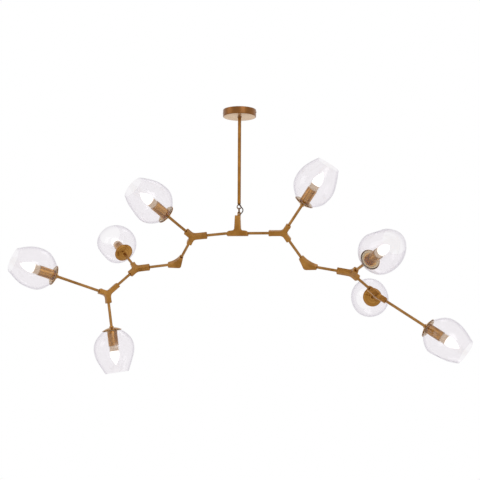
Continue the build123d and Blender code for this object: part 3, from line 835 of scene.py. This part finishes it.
def bar_and_neck(inset):
    """Outline of the centre hub, its bar's ends sloped up to the neck."""
    corner = max(2.0 - 0.59 * inset, 0.3)
    end, foot = BAR_HALF_LENGTH - inset, inset - BAR_HALF_HEIGHT
    right_half = [
        (0, foot),
        (end - corner, foot),
        (end, foot + 1.25 * corner),
        (end, 3.6 - 0.3 * inset),
        (BAR_HALF_LENGTH - 5.5 - 0.5 * inset, 8.6 - inset),
        (NECK_FOOT_HALF - inset, BAR_HALF_HEIGHT + 1.2 - inset),
        (NECK_TOP_HALF - inset, NECK_SHOULDER - inset),
    ]
    left_half = [(-x, y) for x, y in right_half[:0:-1]]
    rounds = [0, 2.0, 2.0, 4.0, 4.0, 8.0, 1.2]
    return eased(right_half + left_half, rounds + rounds[:0:-1], 6, closed=True)


def ear_outline(inset):
    """Outline of the ear: a half circle on two straight sides."""
    foot, radius = NECK_SHOULDER - 6.0, EAR_RADIUS - inset
    a = np.linspace(0, pi, 25)
    arc = np.stack([radius * np.cos(a), NECK_HEIGHT + radius * np.sin(a)], axis=-1)
    return np.concatenate([[(radius, foot)], arc, [(-radius, foot)]])


def make_centre_hub():
    """T-shaped casting: a bar for the two inner rods, and a neck with an ear."""
    across, up = vec(1, 0, 0), vec(0, 0, 1)
    bores = [(*start, BORE_RADIUS, BORE_DEPTH) for start in (RIGHT_START, LEFT_START)]
    lead_hole = vec(LEAD_ACROSS, -LEAD_BEFORE, BAR_HEIGHT + NECK_SHOULDER)
    bores.append((lead_hole, up, LEAD_SLEEVING + 0.2, 12.0))
    axes = (BAR_MIDDLE, across, up)
    hub = plate("centre_hub_casting", bar_and_neck, axes, BAR_DEPTH, CENTRE_EDGE, bores)
    place(hub, "centre", "brass", "centre_hub")
    axes, front = (vec(0, 0, BAR_HEIGHT), across, up), vec(0, -EAR_THICKNESS / 2, CENTRE_PIVOT)
    eye = (front, vec(0, -1, 0), WIRE_RADIUS + 0.75, EAR_THICKNESS + 3)
    ear = plate("centre_hub_ear", ear_outline, axes, EAR_THICKNESS, EAR_EDGE, [eye])
    place(ear, "centre", "brass", "centre_hub")
    lip = Skin().add(hoop(lead_hole, up, LEAD_SLEEVING + 0.5, 0.55, 32, 12))
    place(lip.piece("lead_grommet", LEAD_SLEEVE), "centre", "lead_sleeve")


# ---------------------------------------------------------------- branches
def fork_outline(inset):
    """Outline of a forked hub, arms waisted and the crotches filled.

    Each arm is drawn in its own (along, across) axes and turned to its
    angle; where two arms meet, the corner lies on their bisector.
    """
    waist, tip, corner = HUB_WAIST_HALF - inset, HUB_TIP_HALF - inset, 1.8 - 0.59 * inset
    spread, short = HUB_FORK_ANGLE, HUB_SHORT_ARM
    arms = ((spread, short), (180.0, HUB_LONG_ARM), (-spread, short))
    corners, rounds = [], []
    for index, (angle, length) in enumerate(arms):
        c, s = cos(radians(angle)), sin(radians(angle))
        end = length - inset
        half_end = [
            (end, tip - corner),
            (end - corner, tip),
            (length - HUB_COLLAR, tip),
            (length - HUB_COLLAR - 1.0, waist),
        ]
        drawn = [(x, -y) for x, y in half_end[::-1]] + half_end
        corners += [(x * c - y * s, x * s + y * c) for x, y in drawn]
        rounds += [0.6] * len(drawn)
        between = (arms[(index + 1) % 3][0] - angle) % 360 / 2
        reach, middle = waist / sin(radians(between)), radians(angle + between)
        corners.append((reach * cos(middle), reach * sin(middle)))
        rounds.append(11.0)
    return eased(corners, rounds, 6, closed=True)


def elbow_outline(inset):
    """Outline of an elbow: two arms, a rounded heel and a hollow inner edge.

    The inner edge is the quadratic curve (1-t)^2 A + 2t(1-t) H + t^2 B that
    passes the hollow's depth inside the middle of its two ends A and B.
    """
    bend = radians(ELBOW_ANGLE)
    out = vec(sin(bend / 2), -cos(bend / 2))
    arm, half = ELBOW_ARM - inset, ELBOW_TIP_HALF - 0.8 * inset
    end, aside = arm * vec(cos(bend), sin(bend)), half * vec(sin(bend), -cos(bend))
    inner_back, outer_back = vec(-arm, half), vec(-arm, -half)
    outer_front, inner_front = end + aside, end - aside
    heel = (ELBOW_HEEL - 1.26 * inset) * out
    hollow = (inner_back + inner_front) / 2 + 2 * (ELBOW_HOLLOW + inset) * out
    t = np.linspace(0, 1, 15)[1:-1, None]
    inner = (1 - t) ** 2 * inner_front + 2 * t * (1 - t) * hollow + t**2 * inner_back
    corners = np.concatenate([[inner_back, outer_back, heel, outer_front, inner_front], inner])
    rounds = [1.0, 1.2, 9.0, 1.2, 1.0] + [0.0] * len(inner)
    return eased(corners, rounds, 5, closed=True)


def grub_screws(name, places, body):
    """Small slotless screws with a recess painted dark as shade, each (place, way out)."""
    skin = Skin()
    for spot, way in places:
        face = eased([(0, -0.6), (1.9, -0.6), (1.9, 0.25), (1.1, 0.25)], 0.2, 2)
        skin.add(lathe(face, spot, way, 24))
        # The recess takes the dark second finish: painted shade.
        skin.add(lathe([(1.1, 0.25), (1.1, -0.5), (0, -0.5)], spot, way, 24), 1)
    place(skin.piece(name, [STEEL, RECESS_PAINTED_SHADE]), body, "steel")


def make_hub(name, body, start, forward, turn):
    """Forked hub at a rod's end; returns its two short arms as (end, way).

    Each arm has a bored socket, and a grub screw on the hub's back.
    """
    centre, upward = start + forward * HUB_LONG_ARM, turned_up(forward, turn)
    arms = [(-forward, HUB_LONG_ARM)]
    for angle in (HUB_FORK_ANGLE, -HUB_FORK_ANGLE):
        arms.append((swung(forward, upward, angle), HUB_SHORT_ARM))
    ends = [(centre + way * length, way) for way, length in arms]
    bores = [(*end, BORE_RADIUS, BORE_DEPTH) for end in ends]
    axes = (centre, forward, upward)
    made = plate(f"{name}_casting", fork_outline, axes, HUB_THICKNESS, HUB_EDGE, bores)
    place(made, body, "brass", name)
    side = np.cross(forward, upward)
    back = side if side[1] > 0 else -side
    face = centre + back * HUB_THICKNESS / 2
    screws = [(face + way * (length - SCREW_SETBACK), back) for way, length in arms]
    grub_screws(f"{name}_screws", screws, body)
    return ends[1:]


def make_elbow(name, body, start, forward, turn):
    """Triangular elbow plate at a rod's end; returns its far socket's (end, way)."""
    corner, upward = start + forward * ELBOW_ARM, turned_up(forward, turn)
    ways = (-forward, swung(forward, upward, ELBOW_ANGLE))
    ends = [(corner + way * ELBOW_ARM, way) for way in ways]
    bores = [(*end, BORE_RADIUS, BORE_DEPTH) for end in ends]
    axes = (corner, forward, upward)
    made = plate(f"{name}_casting", elbow_outline, axes, ELBOW_THICKNESS, ELBOW_EDGE, bores)
    place(made, body, "brass", name)
    return ends[1]


def make_rods(name, body, runs):
    """One or two rods; each run is (start, way, length between its ends)."""
    skin = Skin()
    for start, way, length in runs:
        skin.add(rod_grid(start, way, length))
    place(skin.piece(f"{name}_drawn", DRAWN_BRASS), body, "brass", name)


# ------------------------------------------------------------------ lights
DOME_RADIUS = (CUP_RADIUS**2 + CUP_DEPTH**2) / (2 * CUP_DEPTH)
DOME_INSIDE = DOME_RADIUS - CUP_WALL
SHADE_OUTSIDE = DOME_INSIDE - SEAT_GAP
SHADE_INSIDE = SHADE_OUTSIDE - SHADE_WALL


def dome(sphere, radius):
    """Height above the cup's back of a sphere about the dome's centre."""
    return DOME_RADIUS - np.sqrt(sphere**2 - radius**2)


SLEEVE_FOOT = dome(DOME_INSIDE, SLEEVE_RADIUS) + SEAT_GAP
LIGHT_ROD_END = SLEEVE_FOOT + SLEEVE_FLOOR + NUT_GAP + NUT_DEPTH


def make_holder(number, body, back, way):
    """Spun cup with a rolled lip, sleeve with its nut, clamp ring and gasket."""
    node = f"light_{number}_holder"
    bore = ROD_RADIUS + 0.05
    boss = [(bore, -4), (BOSS_RADIUS - 0.6, -4), (BOSS_RADIUS, -3.2)]
    boss += [(BOSS_RADIUS, -0.4), (BOSS_RADIUS + 0.9, 0.5)]
    r = np.linspace(BOSS_RADIUS + 0.6, CUP_RADIUS - 0.9, 14)
    outside = np.stack([r, dome(DOME_RADIUS, r)], axis=-1)
    inside = np.stack([r, dome(DOME_INSIDE, r)], axis=-1)[::-1]
    a = np.linspace(-0.5 * pi, 0.9 * pi, 9)
    circle = np.stack([np.cos(a), np.sin(a)], axis=-1)
    lip = vec(CUP_RADIUS - 0.4, CUP_DEPTH - 0.1) + LIP_RADIUS * circle
    edges = [eased(boss, 0.5, 3), outside[1:], lip, inside[:-1]]
    cup = closed(np.concatenate([*edges, [(bore, dome(DOME_INSIDE, bore))]]))
    place_turned(f"light_{number}_cup", SPUN_BRASS_PAINTED_STREAKS, cup, back, way, 112, body, "brass", node)
    floor, hollow = SLEEVE_FOOT + SLEEVE_FLOOR, SLEEVE_RADIUS - SLEEVE_WALL
    sleeve = [(bore, SLEEVE_FOOT), (SLEEVE_RADIUS, SLEEVE_FOOT), (SLEEVE_RADIUS, SLEEVE_TOP)]
    sleeve += [(hollow, SLEEVE_TOP), (hollow, floor), (bore, floor)]
    skin = Skin().add(lathe(closed(eased(sleeve, 0.45, 4, closed=True)), back, way, 96))
    low = floor + NUT_GAP
    nut = closed(band(bore, NUT_RADIUS, low, low + NUT_DEPTH))
    skin.add(lathe(nut, back, way, 6))
    place(skin.piece(f"light_{number}_sleeve", SLEEVE_BRASS_PAINTED_STREAKS), body, "brass", node)
    seat = dome(SHADE_INSIDE, CLAMP_OUTSIDE) + SEAT_GAP
    clamp = band(CLAMP_INSIDE, CLAMP_OUTSIDE, seat, seat + CLAMP_DEPTH)
    clamp = closed(eased(clamp, 0.5, 3, closed=True))
    # The clamp ring's lighter brass is a painted highlight.
    place_turned(f"light_{number}_ring", RING_BRASS_PAINTED_HIGHLIGHT, clamp, back, way, 80, body, "brass", node)
    r = np.linspace(GASKET_INSIDE, GASKET_OUTSIDE, 8)
    under = np.stack([r, dome(SHADE_INSIDE, r) + GASKET_GAP], axis=-1)
    washer = closed(np.concatenate([under, under[::-1] + vec(0, GASKET_DEPTH)]))
    place_turned(f"light_{number}_washer", GASKET, washer, back, way, 80, body, "white_plastic")


def make_insert(number, body, back, way, node):
    """Ceramic collar of the lampholder, its outside cut with a screw thread.

    Radius at height h and turn a is the collar's radius less a thread
    0.22 (1 - cos(2 pi h / pitch - a)) that fades out at both ends.
    """
    low, high, around = SLEEVE_TOP - 6.0, INSERT_TOP, 72
    h = np.linspace(low, high - 0.9, 44)[:, None]
    a, spokes = wheel(way, around)
    fade = np.clip((high - 2.2 - h) / 1.5, 0, 1) * np.clip((h - low) / 1.5, 0, 1)
    radius = INSERT_RADIUS - 0.22 * fade * (1 - np.cos(2 * pi * h / INSERT_PITCH - a))
    threaded = back + h[..., None] * way + radius[..., None] * spokes
    rim, mouth = INSERT_RADIUS - 0.3, INSERT_RADIUS - 1.0
    top = [(INSERT_RADIUS, high - 0.9), (rim, high), (mouth, high), (mouth, CAP_BORE_TOP)]
    bore = [(CAP_BORE_RADIUS, CAP_BORE_TOP), (CAP_BORE_RADIUS, CAP_BORE_FOOT)]
    bore += [(WIRE_HOLE_RADIUS, CAP_BORE_FOOT), (WIRE_HOLE_RADIUS, INSERT_FOOT)]
    core = [(INSERT_CORE, INSERT_FOOT), (INSERT_CORE, INSERT_STEP)]
    under = [*bore, *core, (INSERT_RADIUS, INSERT_STEP), (INSERT_RADIUS, low)]
    outlines = (under, eased(top, 0.3, 3), bore[:1])
    foot, crown, seam = (lathe(outline, back, way, around) for outline in outlines)
    skin = Skin().add(np.concatenate([foot, threaded, crown, seam]))
    place(skin.piece(f"light_{number}_insert", CERAMIC), body, "ceramic", node)


# Envelope of a lamp as (radius, height over its holder), up to its tip.
FLAME = (
    (15.0, 0.0),
    (15.9, 5.5),
    (16.2, 11.5),
    (15.0, 20.5),
    (11.6, 30.5),
    (6.6, 39.8),
    (2.8, 45.8),
    (1.2, 48.2),
)


def make_bulb(number, body, back, way):
    """Candle lamp: an opal envelope drawn to a point, and its screw cap."""
    node = f"light_{number}_bulb"
    throat, foot, shoulder = FLAME[0][0], BULB_FOOT, BULB_SHOULDER
    neck = [(0, shoulder), (CAP_RADIUS + 0.1, shoulder)]
    neck += [(throat, shoulder + 8), (throat, INSERT_TOP - 0.5)]
    flame = through([(radius, INSERT_TOP + rise) for radius, rise in FLAME], 40)
    tip = [(0.6, BULB_TIP - 0.15), (0, BULB_TIP)]
    skin = Skin().add(lathe(np.concatenate([neck, flame, tip]), back, way, 64))
    place(skin.piece(f"light_{number}_candle", OPAL, 60.0), body, "opal", node)
    h = np.linspace(foot + 4, shoulder, 34)
    threads = np.stack([CAP_RADIUS - 0.45 * np.cos(2 * pi * h / CAP_PITCH) ** 2, h], axis=-1)
    contact = [(0, foot), (2.4, foot), (2.6, foot + 2), (6.0, foot + 3)]
    cap = np.concatenate([contact, threads, [(0, shoulder)]])
    place_turned(f"light_{number}_cap", STEEL, cap, back, way, 40, body, "steel", node)


# Shape of a shade as (height above the cup's rim, radius), before its dents.
BUBBLE = ((20, 54.5), (45, 70.0), (73, 73.7), (100, 70.0), (124, 61.0), (156, 42.5))

# Dents of each shade as (height above the cup's rim, turn, depth, spread),
# turns measured from the upper side of the light's axis, in degrees. A
# negative depth bulges outwards.
DENTS = {
    1: [(101, 154, 5.5, 30)],
    2: [(65, 224, 4.5, 30), (111, 260, -3.5, 34)],
    3: [(70, 176, 5.0, 38), (140, 167, 8.5, 45)],
    4: [(128, 146, 4.5, 40), (118, 330, 6.0, 36)],
    5: [(110, 211, 6.5, 46), (45, 203, 4.5, 30)],
    6: [(97, 16, 10.0, 25), (40, 120, 3.0, 34)],
    7: [(125, 346, 5.0, 48), (77, 168, 8.0, 24), (112, 171, 4.5, 40)],
    8: [(84, 70, 5.0, 34), (60, 250, 3.5, 38)],
}

# How much lower than the others the mouths of some shades are cut.
CUT_SHORTER = {3: 6.5, 4: 3.0, 7: 8.5}


def make_shade(number, body, back, way):
    """Blown shade, dented by hand, with a thick wall and a mouth cut uneven.

    The outline is a spline through the bubble's radii, ended where this
    shade's mouth is cut. The outer skin's radius at height h and turn a is
    the outline's, times 1 + small waves in 2a and 3a, less dents of depth
    exp(-d^2) with d the distance over the spread. The inner skin lies a wall
    inside along the normal, half as thick at the mouth, where a half circle
    joins the two.
    """
    seat = (SHADE_SEAT, dome(SHADE_OUTSIDE, SHADE_SEAT))
    r = np.linspace(SHADE_HOLE, SHADE_SEAT, 8)
    foot = np.stack([r, dome(SHADE_OUTSIDE, r)], axis=-1)
    bubble = through([seat, *[(radius, CUP_DEPTH + rise) for rise, radius in BUBBLE]], 72)
    mouth = CUP_DEPTH + SHADE_HEIGHT - CUT_SHORTER.get(number, 0.0)
    bubble = bubble[bubble[:, 1] <= mouth]
    shape = np.concatenate([foot[:-1], bubble])
    radius, height = shape[:, :1], shape[:, 1:]
    a, spokes = wheel(way, 128)
    above = np.clip((height - CUP_DEPTH - 6) / 50, 0, 1)
    ease = above * above * (3 - 2 * above)
    lean = radians(137.5 * number)
    waves = 0.014 * np.cos(2 * a + lean) + 0.008 * np.cos(3 * a - 2 * lean + height / 60)
    swell = radius * (1 + ease * waves)
    for dent_height, turn, depth, spread in DENTS[number]:
        apart = (a - radians(turn) + pi) % (2 * pi) - pi
        gap = ((height - CUP_DEPTH - dent_height) / spread) ** 2 + (apart * radius / spread) ** 2
        swell = swell - ease * depth * np.exp(-gap)
    uneven = 0.5 * np.cos(2 * a + 2 * lean) + 0.4 * np.cos(3 * a + lean)
    drop = height + ease**4 * uneven
    outer = back + drop[..., None] * way + swell[..., None] * spokes
    rise = np.gradient(outer, axis=0)
    turn_way = (np.roll(outer, -1, axis=1) - np.roll(outer, 1, axis=1)) / 2
    normal = np.cross(turn_way, rise)
    normal /= np.linalg.norm(normal, axis=2)[..., None]
    outwards = np.sign((normal * spokes).sum(axis=2).mean())
    wall = SHADE_WALL * (1 - 0.5 * np.clip((height - CUP_DEPTH - 136) / 20, 0, 1))
    inner = outer - wall[..., None] * outwards * normal
    middle = (outer[-1] + inner[-1]) / 2
    reach = rise[-1] / np.linalg.norm(rise[-1], axis=1)[:, None] * wall[-1] / 2
    bend = np.linspace(0, pi, 9)[1:-1, None, None]
    rim = middle + np.cos(bend) * (outer[-1] - middle) + np.sin(bend) * reach
    skin = Skin().add(np.concatenate([outer, rim, inner[::-1], outer[:1]]))
    made = skin.piece(f"light_{number}_glass", GLASS, 80.0)
    place(made, body, "clear_glass", f"light_{number}_shade")


def make_light(number, body, start, way, rod_length, socket_node):
    """Holder, insert, lamp and shade at the end of a lamp rod."""
    back = start + way * rod_length
    make_holder(number, body, back, way)
    make_insert(number, body, back, way, socket_node)
    make_bulb(number, body, back, way)
    make_shade(number, body, back, way)


def light_rod(start, way, length):
    """Run of a lamp rod, from inside its hub to the lamp's lock nut."""
    return start - way * ROD_INSERTION, way, ROD_INSERTION + length + LIGHT_ROD_END


def joining_rod(start, way, length):
    """Run of a rod that sits in a socket at both ends."""
    return start - way * ROD_INSERTION, way, length + 2 * ROD_INSERTION


def beyond(start, way, length):
    """The far end of a rod, as (end, way)."""
    return start + way * length, way


def make_branch(side, first, start, turns):
    """One side of the chandelier, from the bar's end out to four lights."""
    inner, bend, outer, end = (f"{side}_{name}" for name in ("inner", "elbow", "outer", "end"))

    rod_end = beyond(*start, INNER_ROD)
    upper, lower = make_hub(f"{side}_inner_hub", inner, *rod_end, turns[0])
    make_rods(f"light_{first}_rod", inner, [light_rod(*upper, SHORT_LIGHT_ROD)])
    make_light(first, inner, *upper, SHORT_LIGHT_ROD, f"light_{first}_socket")
    make_rods(f"{side}_branch_rod", inner, [joining_rod(*lower, BRANCH_ROD)])

    rod_end = beyond(*lower, BRANCH_ROD)
    leaving = make_elbow(f"{side}_elbow", bend, *rod_end, turns[1])
    make_rods(f"{side}_elbow_rod", bend, [joining_rod(*leaving, ELBOW_ROD)])

    rod_end = beyond(*leaving, ELBOW_ROD)
    upper, lower = make_hub(f"{side}_outer_hub", outer, *rod_end, turns[2])
    make_rods(f"light_{first + 1}_rod", outer, [light_rod(*upper, SHORT_LIGHT_ROD)])
    make_light(first + 1, outer, *upper, SHORT_LIGHT_ROD, f"light_{first + 1}_socket")
    make_rods(f"{side}_fork_rod", outer, [joining_rod(*lower, FORK_ROD)])

    rod_end = beyond(*lower, FORK_ROD)
    far, near = make_hub(f"{side}_end_hub", end, *rod_end, turns[3])
    runs = [light_rod(*far, LONG_LIGHT_ROD), light_rod(*near, SHORT_LIGHT_ROD)]
    make_rods(f"{side}_end_rods", end, runs)
    make_light(first + 2, end, *far, LONG_LIGHT_ROD, f"{side}_end_sockets")
    make_light(first + 3, end, *near, SHORT_LIGHT_ROD, f"{side}_end_sockets")


make_centre_hub()
inner_runs = [joining_rod(*start, INNER_ROD) for start in (RIGHT_START, LEFT_START)]
make_rods("inner_rods", "centre", inner_runs)
make_branch("left", 1, LEFT_START, LEFT_TURNS)
make_branch("right", 5, RIGHT_START, RIGHT_TURNS)


# ---------------------------------------------------- carried-over CAD nodes
def repaint(node, finish):
    """Give a CAD node's mesh a finish of the scene's own."""
    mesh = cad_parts[node].data
    mesh.materials.clear()
    mesh.materials.append(finish)


repaint("mounting_bracket", STEEL)
repaint("canopy_fixings", STEEL)
repaint("terminal_block", WHITE_PLASTIC)
